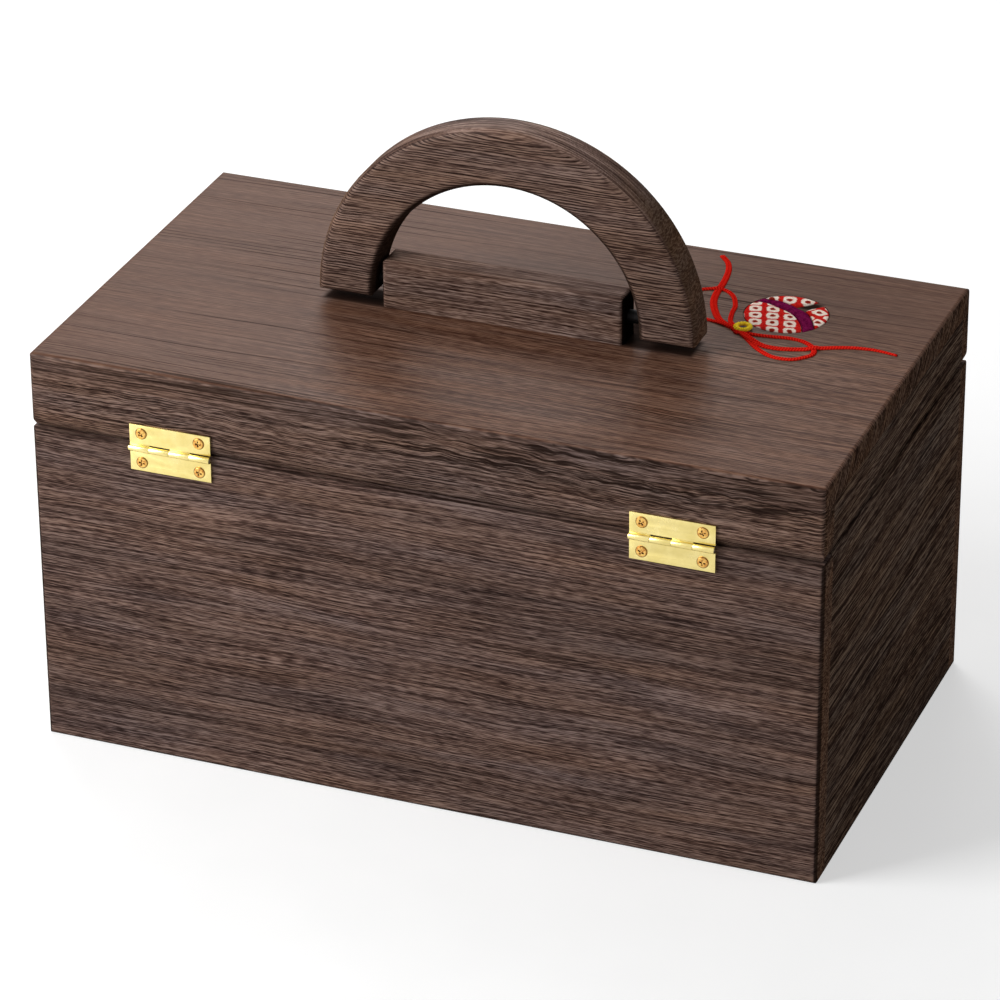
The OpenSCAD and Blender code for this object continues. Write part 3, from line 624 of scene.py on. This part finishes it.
# The box's ends take the darker tones, which are partly painted shade
wood_end = (BurntWood("burnt_wood_end", "y", "z", pitch=0.48)
            .brush(lines=0.25).stain(SIDE_SHADED_TONES, contrast=1.6).burn_and_shade(0.15)
            .bare_inside("x", inside_x).done(wax=0.0))
# The top gets painted shade under the handle's legs, at the block's ends and in the ball's cleft
wood_top = (BurntWood("burnt_wood_top", "x", "y", pitch=0.46)
            .brush(lines=0.15, fade_zone=TOP_FADE)
            .stain(EDGE_TONES, flat=TOP_TONES, contrast=1.7, bands=0.3, clouding=0.3)
            .burn_and_shade(0.1, scores=0.7, bold=BOLD_LINES, painted_shade=painted_shade_spots())
            .bare_under().done(depth=0.14, wax=0.19))
# The arch's up-facing faces carry a painted highlight through lighter tones
wood_arch = (BurntWood("burnt_wood_arch", "x", "z", pitch=0.46, lean=0.3, bend=2.5)
             .brush(ribs=0.25, wrap=True)
             .stain(ARCH_TONES, flat=ARCH_HIGHLIGHT_TONES, ends=ARCH_END_TONES)
             .burn_and_shade(0.0, arch=ARCH_MIDDLE).done(depth=0.35))
wood_block = (BurntWood("burnt_wood_block", "x", "z", lean=0.3, bend=4.0, figure=1.2)
              .brush(ribs=0.1, wrap=True)
              .stain(BLOCK_TONES, ends=BLOCK_END_SHADE_TONES, contrast=1.3)
              .burn_and_shade(0.0).done(depth=0.4, wax=0.03))
pale_x = plain_wood("pale_wood_x", "x")
pale_y = plain_wood("pale_wood_y", "y")
brass = polished_brass("polished_brass")
screws_brass = screw_brass("screw_brass")
steel_dark = dark_steel("blackened_steel")
steel_bright = bright_steel("plated_steel")
red_print = printed_cloth("red_print")
purple = purple_weave("purple_weave")
red_braid = braid("red_braid")
gold_silk = gold_thread("gold_silk")


# Pieces that stand for CAD nodes


def dress(piece, finish, node):
    """Gives a piece its finish and puts it in a CAD node's place."""
    piece.data.materials.clear()
    piece.data.materials.append(finish)
    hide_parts(node)
    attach(piece, body_of[node])
    return piece


def linked(name, data):
    """An object of a mesh, lamp or camera, put in the scene."""
    made = bpy.data.objects.new(name, data)
    bpy.context.scene.collection.objects.link(made)
    return made


def new_piece(name, work):
    """An object made of the bmesh work, whose lengths are in mm."""
    mesh = bpy.data.meshes.new(name)
    bmesh.ops.scale(work, vec=(MM,) * 3, verts=work.verts)
    work.to_mesh(mesh)
    work.free()
    return linked(name, mesh)


def softened(name):
    """A copy of a CAD node whose sharp edges are rounded, so that they catch the light."""
    work = bmesh.new()
    work.from_mesh(nodes[name].data)
    bmesh.ops.scale(work, vec=(1 / MM,) * 3, verts=work.verts)
    bmesh.ops.remove_doubles(work, verts=work.verts, dist=1e-3)
    bmesh.ops.dissolve_limit(work, angle_limit=math.radians(0.5), verts=work.verts,
                             edges=work.edges)
    sharp = [edge for edge in work.edges
             if edge.is_manifold and edge.calc_face_angle() > math.radians(40)]
    bmesh.ops.bevel(work, geom=sharp, offset=SOFT_EDGE, offset_type="OFFSET", segments=2,
                    profile=0.5, affect="EDGES", clamp_overlap=True)
    piece = new_piece(name + "_soft", work)
    piece.data.shade_smooth()
    piece.data.set_sharp_from_angle(angle=math.radians(35))
    return piece


# Screws


class Build(Tree):
    """A Geometry Nodes tree with named inputs, run on one object."""

    def __init__(self, name, **sizes):
        super().__init__(bpy.data.node_groups.new(name, "GeometryNodeTree"))
        face = self.tree.interface
        face.new_socket("Geometry", in_out="INPUT", socket_type="NodeSocketGeometry")
        face.new_socket("Geometry", in_out="OUTPUT", socket_type="NodeSocketGeometry")
        self.sizes = {}
        kinds = {float: "NodeSocketFloat", int: "NodeSocketInt", tuple: "NodeSocketVector"}
        for label, value in sizes.items():
            item = face.new_socket(label, in_out="INPUT", socket_type=kinds[type(value)])
            item.default_value = value
            self.sizes[label] = item.identifier
        self.start = self.tree.nodes.new("NodeGroupInput")
        self.end = self.tree.nodes.new("NodeGroupOutput")

    def size(self, label):
        return Value(self, self.start.outputs[label])

    def moved(self, geometry, **sockets):
        return self.node("GeometryNodeTransform", {}, {"Geometry": geometry, **sockets})

    def finish_with(self, shape, material, **sockets):
        """Ends the tree: the shape at each point, instances made real, and the material set."""
        points = Value(self, self.start.outputs[0])
        placed = self.node("GeometryNodeInstanceOnPoints", {},
                           {"Points": points, "Instance": shape, **sockets})
        real = self.node("GeometryNodeRealizeInstances", {}, {0: placed})
        smooth = self.node("GeometryNodeSetShadeSmooth", {}, {0: real})
        done = self.node("GeometryNodeSetMaterial", {}, {"Geometry": smooth, "Material": material})
        self.feed(self.end.inputs[0], done)

    def run(self, name, points, **sizes):
        """The plain mesh that the tree makes on an object whose vertices are points, in mm."""
        carrier = bpy.data.meshes.new(name + "_points")
        carrier.from_pydata([[value * MM for value in point] for point in points], [], [])
        source = linked(name + "_points", carrier)
        modifier = source.modifiers.new("build", "NODES")
        modifier.node_group = self.tree
        for label, value in sizes.items():
            modifier[self.sizes[label]] = value
        bpy.context.view_layer.update()
        graph = bpy.context.evaluated_depsgraph_get()
        mesh = bpy.data.meshes.new_from_object(source.evaluated_get(graph))
        source.modifiers.remove(modifier)
        bpy.data.objects.remove(source)
        mesh.set_sharp_from_angle(angle=math.radians(38))
        return linked(name, mesh)


def screw_tree(material):
    """A screw with a domed head and a cross recess at each point, with its head turned outward.

    The attribute dark is 1 on the head's rim and in the recess, for painted shade there.
    """
    t = Build("screws", head_radius=2.25 * MM, head_height=0.5 * MM, foot_depth=0.25 * MM,
              shank_radius=1.1 * MM, shank_length=6.5 * MM, recess_reach=1.35 * MM,
              recess_width=0.74 * MM, recess_depth=0.6 * MM, outward=(0.0, 1.0, 0.0), seed=3)

    def with_painted_shade(geometry, dark):
        settings = {"data_type": "FLOAT", "domain": "FACE"}
        sockets = {"Geometry": geometry, "Name": "dark", "Value": dark}
        return t.node("GeometryNodeStoreNamedAttribute", settings, sockets)

    radius, height = t.size("head_radius"), t.size("head_height")
    blank = t.node("GeometryNodeMeshCylinder", {"fill_type": "TRIANGLE_FAN"},
                   {"Vertices": 40, "Side Segments": 1, "Fill Segments": 9, "Radius": radius,
                    "Depth": 1.0})
    x, y, z = t.split(t.node("GeometryNodeInputPosition", {}, {}))
    share = (x * x + y * y).root() / radius
    dome = (1 - (share ** 3.4) * 0.93).larger(0.0).root() * height
    top = z.rise(-0.1, 0.1)
    level = dome * top - t.size("foot_depth") * (1 - top)
    head = t.node("GeometryNodeSetPosition", {},
                  {"Geometry": with_painted_shade(blank, share.rise(0.78, 0.93) * top),
                   "Position": t.vector(x, y, level)})

    cone = t.node("GeometryNodeMeshCone", {"fill_type": "NGON"},
                  {"Vertices": 4, "Radius Top": 0.7072, "Radius Bottom": 0.36, "Depth": 1.0})
    square = t.moved(cone, Rotation=(0, 0, math.radians(45)))
    bar = t.moved(square, Scale=t.vector(t.size("recess_reach") * 2, t.size("recess_width"),
                                         t.size("recess_depth") * 1.3))
    lift = t.vector(0.0, 0.0, height - t.size("recess_depth"))
    # The recess is marked for painted shade
    cross = [with_painted_shade(t.moved(bar, Translation=lift, Rotation=(0, 0, math.radians(angle))), 1.0)
             for angle in (0, 90)]
    cut = t.node("GeometryNodeMeshBoolean", {"operation": "DIFFERENCE"}, {0: head, 1: cross})

    shank = t.node("GeometryNodeMeshCylinder", {},
                   {"Vertices": 16, "Radius": t.size("shank_radius"),
                    "Depth": t.size("shank_length")})
    stem = t.moved(shank, Translation=t.vector(0.0, 0.0, t.size("shank_length") * -0.5))
    screw = t.node("GeometryNodeJoinGeometry", {}, {0: [cut, stem]})

    facing = t.node("FunctionNodeAlignRotationToVector", {"axis": "Z"},
                    {"Vector": t.size("outward")})
    angle = t.node("FunctionNodeRandomValue", {"data_type": "FLOAT"},
                   {2: 0.0, 3: math.pi / 2, "Seed": t.size("seed")}, 1)
    spin = t.node("FunctionNodeAxisAngleToRotation", {}, {"Axis": (0, 0, 1), "Angle": angle})
    turned = t.node("FunctionNodeRotateRotation", {"rotation_space": "LOCAL"},
                    {"Rotation": facing, "Rotate By": spin})
    t.finish_with(screw, material, Rotation=turned)
    return t


def make_screws():
    tree = screw_tree(screws_brass)
    hinge_face = BOX_D / 2 + LEAF_T
    plate_face = -BOX_D / 2 - PLATE_HEAD_BASE
    ends = (-1, 1)
    for node, up, seed in (("hinge_body_screws", -1, 3), ("hinge_lid_screws", 1, 8)):
        places = [(side * HINGE_X + s * LEAF_SCREW[0], hinge_face, HINGE_Z + up * LEAF_SCREW[1])
                  for side in ends for s in ends]
        heads = tree.run(node + "_heads", places, seed=seed)
        dress(heads, screws_brass, node)
    for node, up, seed in (("latch_body_screws", -1, 5), ("latch_lid_screws", 1, 11)):
        places = [(s * PLATE_SCREW[0], plate_face, SEAM_Z + up * PLATE_SCREW[1]) for s in ends]
        heads = tree.run(node + "_heads", places, seed=seed, outward=(0.0, -1.0, 0.0),
                         head_height=PLATE_HEAD_H * MM)
        dress(heads, screws_brass, node)


# Cloth ball


def smooth(points, steps=4):
    """A smooth curve through the points, with a few steps in each stretch."""
    last = len(points) - 1
    line = []
    for i in range(last):
        a, b, c, d = (np.array(points[max(0, min(last, k))], float) for k in range(i - 1, i + 3))
        for k in range(steps):
            t = k / steps
            line.append(0.5 * (2 * b + (c - a) * t + (2 * a - 5 * b + 4 * c - d) * t ** 2
                               + (3 * b - a - 3 * c + d) * t ** 3))
    line.append(np.array(points[-1], float))
    return line


def depth_inside(points, outline):
    """How far each point lies inside a closed outline, below 0 outside it."""
    start = np.array(outline)
    along = np.roll(start, -1, axis=0) - start
    offset = points[:, None, :] - start[None]
    share = np.clip((offset * along).sum(2) / (along ** 2).sum(1), 0, 1)
    distance = np.linalg.norm(offset - share[..., None] * along, axis=2).min(1)
    x, y = points[:, 0, None], points[:, 1, None]
    above = start[:, 1] > y
    crosses = above != np.roll(above, -1, axis=1)
    with np.errstate(divide="ignore", invalid="ignore"):
        where = start[:, 0] + (y - start[:, 1]) / along[:, 1] * along[:, 0]
    odd = (crosses & (x < where)).sum(1) % 2
    return np.where(odd == 1, distance, -distance)


def on_ball(line):
    """A line between patches turned into mm from the ball's middle."""
    return [(BALL_R * x, -BALL_R * y) for x, y in line]


def cut_grid(inside, reach, step):
    """The points and triangles of a flat grid, cut off where inside falls below 0."""
    count = int(reach / step) + 1
    ticks = np.arange(-count, count + 1) * step
    grid = np.array([(x, y) for y in ticks for x in ticks])
    depth = inside(grid)
    row = len(ticks)
    points, triangles, seen = [], [], {}

    def corner(i):
        if i not in seen:
            seen[i] = len(points)
            points.append(tuple(grid[i]))
        return seen[i]

    def crossing(i, j):
        i, j = min(i, j), max(i, j)
        if (i, j) not in seen:
            seen[i, j] = len(points)
            share = depth[i] / (depth[i] - depth[j])
            points.append(tuple(grid[i] + share * (grid[j] - grid[i])))
        return seen[i, j]

    for j in range(row - 1):
        for i in range(row - 1):
            a = j * row + i
            for cell in ((a, a + 1, a + row + 1), (a, a + row + 1, a + row)):
                if max(depth[k] for k in cell) <= 0:
                    continue
                face = []
                for k, following in zip(cell, cell[1:] + cell[:1]):
                    if depth[k] > 0:
                        face.append(corner(k))
                    if (depth[k] > 0) != (depth[following] > 0):
                        face.append(crossing(k, following))
                triangles += [(face[0], face[n], face[n + 1]) for n in range(1, len(face) - 1)]
    return np.array(points), triangles


def cloth_patch(node, outlines, finish, origin, across, down, seed):
    """One patch of cloth: a low pillow whose edges are tucked into the groove around it.

    origin, across and down place the print: the middle of one ring and the steps to the next ones.
    """
    outlines = [on_ball(outline) for outline in outlines]

    def inside(places):
        depth = BALL_R - RIM_GAP - np.linalg.norm(places, axis=1)
        for outline in outlines:
            depth = np.minimum(depth, depth_inside(places, outline))
        return depth - GROOVE_GAP

    flat, triangles = cut_grid(inside, BALL_R + 0.5, CLOTH_STEP)
    depth = np.maximum(inside(flat), 0)
    steep = np.sqrt(1 - (1 - np.minimum(depth / CLOTH_SLOPE, 1)) ** 2)
    far = np.linalg.norm(flat, axis=1) / BALL_R
    work = bmesh.new()
    tops, floors = [], []
    for (x, y), s, r in zip(flat, steep, far):
        pucker = noise.noise(Vector((x / 1.5, y / 1.5, seed))) * 0.12 * s
        fine = noise.noise(Vector((x / 0.6, y / 0.6, seed + 9))) * 0.035 * s
        full = CLOTH_RIM - CLOTH_EDGE + CLOTH_SWELL * (1 - r ** 2)
        place = (BALL[0] + x, BALL[1] + y)
        tops.append(work.verts.new((*place, BOX_H + CLOTH_EDGE + full * s + pucker + fine)))
        floors.append(work.verts.new((*place, BOX_H - POCKET + POCKET_GAP)))
    uv = work.loops.layers.uv.new("print")
    basis = np.linalg.inv(np.array([across, down]).T)
    for a, b, c in triangles:
        face = work.faces.new((tops[a], tops[b], tops[c]))
        face.smooth = True
        for loop, k in zip(face.loops, (a, b, c)):
            loop[uv].uv = basis @ (flat[k] - np.array(origin))
        work.faces.new((floors[c], floors[b], floors[a]))
    edges = [edge for a, b, c in triangles for edge in ((a, b), (b, c), (c, a))]
    shared = set(edges)
    for a, b in edges:
        if (b, a) not in shared:
            work.faces.new((tops[b], tops[a], floors[a], floors[b]))
    patch = dress(new_piece(node + "_cloth", work), finish, node)


def make_ball():
    near, far, gap, side_gap = ([tuple(point) for point in smooth(line)]
                                for line in (BAND_NEAR, BAND_FAR, GAP_LINE, GAP_SIDE))
    front = near + [(-0.8, -2), (2, -2), (2, 0.42)]
    band = near + far[::-1]
    beyond = far + [(-2, -1.1), (-2, 2), (1.3, 2)]
    back = gap + [(-0.72, 2), (2, 2), (2, -1), (0.2, -1)]
    side = side_gap + [(-2, 1.2), (-2, -2), (-0.36, -2)]
    cloth_patch("inlay_ball_front", [front], red_print,
                (3.88, 4.41), (-6.35, -1.05), (-1.65, 5.3), 1.3)
    cloth_patch("inlay_ball_back", [beyond, back], red_print,
                (2.28, -11.12), (6.8, 0.7), (1.2, -6.6), 4.1)
    cloth_patch("inlay_ball_side", [beyond, side], red_print,
                (-13.4, 3.4), (3.4, 5.2), (-5.4, 2.6), 6.7)
    cloth_patch("inlay_ball_band", [band], purple, (0, 0), (1, 0), (0, 1), 8.2)


# Cord

# A strand's section: places across in parts of half its width, heights in parts of its thickness
STRAND_SECTION = [(-1.0, 0.0), (-0.92, 0.5), (-0.6, 0.92), (-0.28, 1.0), (0.0, 0.8), (0.28, 1.0),
                  (0.6, 0.92), (0.92, 0.5), (1.0, 0.0)]


def even(line, step):
    """The line's points again, about step apart, with the distance along it."""
    line = np.array(line)
    length = np.concatenate([[0], np.cumsum(np.linalg.norm(np.diff(line, axis=0), axis=1))])
    count = max(2, int(round(length[-1] / step)) + 1)
    along = np.linspace(0, length[-1], count)
    return np.column_stack([np.interp(along, length, line[:, k]) for k in (0, 1)]), along


def add_strand(work, uv, line, along, widths, heights, thick):
    """A flat braided strand that lies on the lid and rises where heights says."""
    sections = []
    for i, (x, y) in enumerate(line):
        before, after = line[max(i - 1, 0)], line[min(i + 1, len(line) - 1)]
        heading = (after - before) / np.linalg.norm(after - before)
        sideways = np.array([-heading[1], heading[0]])
        ripple = 1 + 0.02 * math.sin(along[i] * 2 * math.pi / BRAID_PITCH)
        section = []
        for across, up in STRAND_SECTION:
            half = across * widths[i] / 2 * ripple
            place = (BALL[0] + x + sideways[0] * half, BALL[1] + y + sideways[1] * half)
            vertex = work.verts.new((*place, BOX_H + CORD_GAP + heights[i] + up * thick))
            section.append((vertex, (along[i], half)))
        sections.append(section)
    for here, there in zip(sections, sections[1:]):
        for k in range(len(here)):
            following = (k + 1) % len(here)
            corners = (here[k], there[k], there[following], here[following])
            face = work.faces.new([vertex for vertex, _ in corners])
            face.smooth = following != 0
            for loop, (_, place) in zip(face.loops, corners):
                loop[uv].uv = place
    for section, turn in ((sections[0], 1), (sections[-1], -1)):
        work.faces.new([vertex for vertex, _ in section][::turn])


def make_cord():
    """The flat red cord with two loops, two tails and its knot, all glued along the lid."""
    work = bmesh.new()
    uv = work.loops.layers.uv.new("cord")
    laid = []
    for name, route in CORD_ROUTES.items():
        line, along = even(smooth(route, 8), CORD_STEP)
        if name in TAIL_END_W:
            from_end = along if name == "upper_tail" else along[-1] - along
            narrow = TAIL_END_W[name]
            widths = narrow + (CORD_W - narrow) * np.clip(from_end / TAIL_TAPER, 0, 1)
        else:
            widths = np.full(len(line), LOOP_W[name])
        heights = np.zeros(len(line))
        for other in laid:
            apart = np.linalg.norm(line[:, None] - other[None], axis=2).min(1)
            near = 1 - np.clip((apart - CROSS_NEAR) / CROSS_SLOPE, 0, 1)
            heights = np.maximum(heights, CROSS_LIFT * near ** 2)
        add_strand(work, uv, line, along, widths, heights, CORD_T)
        laid.append(line)
    for middle, half_run in KNOT_WRAPS:
        middle, half_run = np.add(KNOT, middle), np.array(half_run)
        line, along = even([middle - half_run, middle + half_run], WRAP_STEP)
        heights = WRAP_LIFT * np.sqrt(np.maximum(0, 1 - np.linspace(-1, 1, len(line)) ** 2))
        add_strand(work, uv, line, along, np.full(len(line), WRAP_W), heights, WRAP_T)
    bmesh.ops.recalc_face_normals(work, faces=work.faces)
    dress(new_piece("inlay_cord_braid", work), red_braid, "inlay_cord")


def ring_tree(material):
    """Two strands twisted round each other in a flattened ring at each point."""
    t = Build("twisted_ring", ring_radius=2.6 * MM, strand_radius=0.58 * MM,
              twist_radius=0.46 * MM, turns=8.0, squash=0.72)

    def circle(points, radius):
        return t.node("GeometryNodeCurvePrimitiveCircle", {},
                      {"Resolution": points, "Radius": t.size(radius)})

    strands = []
    for start in (0, math.pi):
        share = t.node("GeometryNodeSplineParameter", {}, {})
        angle = share * t.size("turns") * (2 * math.pi) + start
        out = angle.math("COSINE") * t.size("twist_radius")
        up = angle.math("SINE") * t.size("twist_radius")
        x, y, _ = t.split(t.node("GeometryNodeInputPosition", {}, {}))
        grow = out / t.size("ring_radius") + 1
        path = t.node("GeometryNodeSetPosition", {}, {"Geometry": circle(120, "ring_radius"),
                                                      "Position": t.vector(x * grow, y * grow, up)})
        strands.append(t.node("GeometryNodeCurveToMesh", {},
                              {"Curve": path, "Profile Curve": circle(10, "strand_radius")}))
    both = t.node("GeometryNodeJoinGeometry", {}, {0: strands})
    ring = t.moved(both, Scale=t.vector(1.0, 1.0, t.size("squash")))
    t.finish_with(ring, material)
    return t


def make_ring():
    middle = (BALL[0] + RING_AT[0], BALL[1] + RING_AT[1], BOX_H + RING_LIFT)
    ring = ring_tree(gold_silk).run("inlay_ring_twist", [middle])
    dress(ring, gold_silk, "inlay_ring")


# Finishes of the CAD nodes. The tray's other boards are pale along x, and what is left is brass

NODE_FINISH = {
    "body_front": wood_body_long, "body_back": wood_body_long,
    "body_left": wood_end, "body_right": wood_end, "body_bottom": pale_x,
    "tray_ledge_left": pale_y, "tray_ledge_right": pale_y,
    "lid_top": wood_top, "lid_front": wood_lid_long, "lid_back": wood_lid_long,
    "lid_left": wood_end, "lid_right": wood_end,
    "handle_arch": wood_arch, "handle_block": wood_block,
    "handle_pins": steel_dark, "handle_block_screws": steel_bright,
    "hinge_left_pin": steel_bright, "hinge_right_pin": steel_bright,
    "tray_left": pale_y, "tray_right": pale_y, "tray_cross_divider": pale_y,
}
for name, node in nodes.items():
    usual = pale_x if name.startswith("tray_") else brass
    node.data.materials.clear()
    node.data.materials.append(NODE_FINISH.get(name, usual))

SOFT_METAL = ["hinge_left_body_leaf", "hinge_left_lid_leaf", "hinge_right_body_leaf",
              "hinge_right_lid_leaf", "latch_lid_plate", "latch_body_plate", "latch_hook"]
for name in SOFT_METAL:
    dress(softened(name), brass, name)
make_screws()
make_ball()
make_cord()
make_ring()


# Floor, light and camera


def white_where_seen(t, socket, hidden, seen):
    """Feeds the socket hidden for the light on the object, and seen where camera and gloss look."""
    camera, gloss, glass = (t.node("ShaderNodeLightPath", {}, {}, ray) for ray in
                            ("Is Camera Ray", "Is Glossy Ray", "Is Transmission Ray"))
    looks = camera.larger(gloss).larger(glass)
    level = t.node("ShaderNodeMapRange", {}, {"Value": looks, "To Min": hidden, "To Max": seen})
    t.feed(socket, level)


def make_world():
    world = bpy.data.worlds.new("studio")
    world.use_nodes = True
    background = world.node_tree.nodes["Background"]
    background.inputs["Color"].default_value = (1, 1, 1, 1)
    white_where_seen(Tree(world.node_tree), background.inputs["Strength"], WORLD_LIGHT, 1.0)
    bpy.context.scene.world = world


def make_floor():
    bpy.ops.mesh.primitive_plane_add(size=8)
    floor = bpy.context.object
    floor.name = "floor"
    f = Finish("floor_paper", Roughness=0.9, Specular_IOR_Level=0.0, Emission_Color=(1, 1, 1, 1))
    x, y, z = f.place()
    paper = f.noise((x / 30, y / 30, z))
    f.set(f.ramp(paper, (0.3, FLOOR_GREYS[0]), (0.7, FLOOR_GREYS[1])))
    white_where_seen(f, f.shader.inputs["Emission Strength"], 0.0, FLOOR_GLOW)
    floor.data.materials.append(f.material)


def make_lamp(name, place, aim, size, power):
    light = bpy.data.lights.new(name, "AREA")
    light.size = size
    light.energy = power
    lamp = linked(name, light)
    lamp.location = place
    lamp.rotation_euler = (Vector(aim) - Vector(place)).to_track_quat("-Z", "Y").to_euler()


def make_camera():
    camera = linked("camera", bpy.data.cameras.new("camera"))
    camera.data.lens = LENS
    camera.data.sensor_width = SENSOR_W
    turn = AIM.to_track_quat("-Z", "Y").to_matrix().to_4x4()
    camera.matrix_world = Matrix.Translation(EYE) @ turn @ Matrix.Rotation(ROLL, 4, "Z")
    bpy.context.scene.camera = camera


make_world()
make_floor()
for name, lamp in LAMPS.items():
    make_lamp(name, *lamp)
make_camera()
bpy.context.scene.view_settings.view_transform = "Standard"
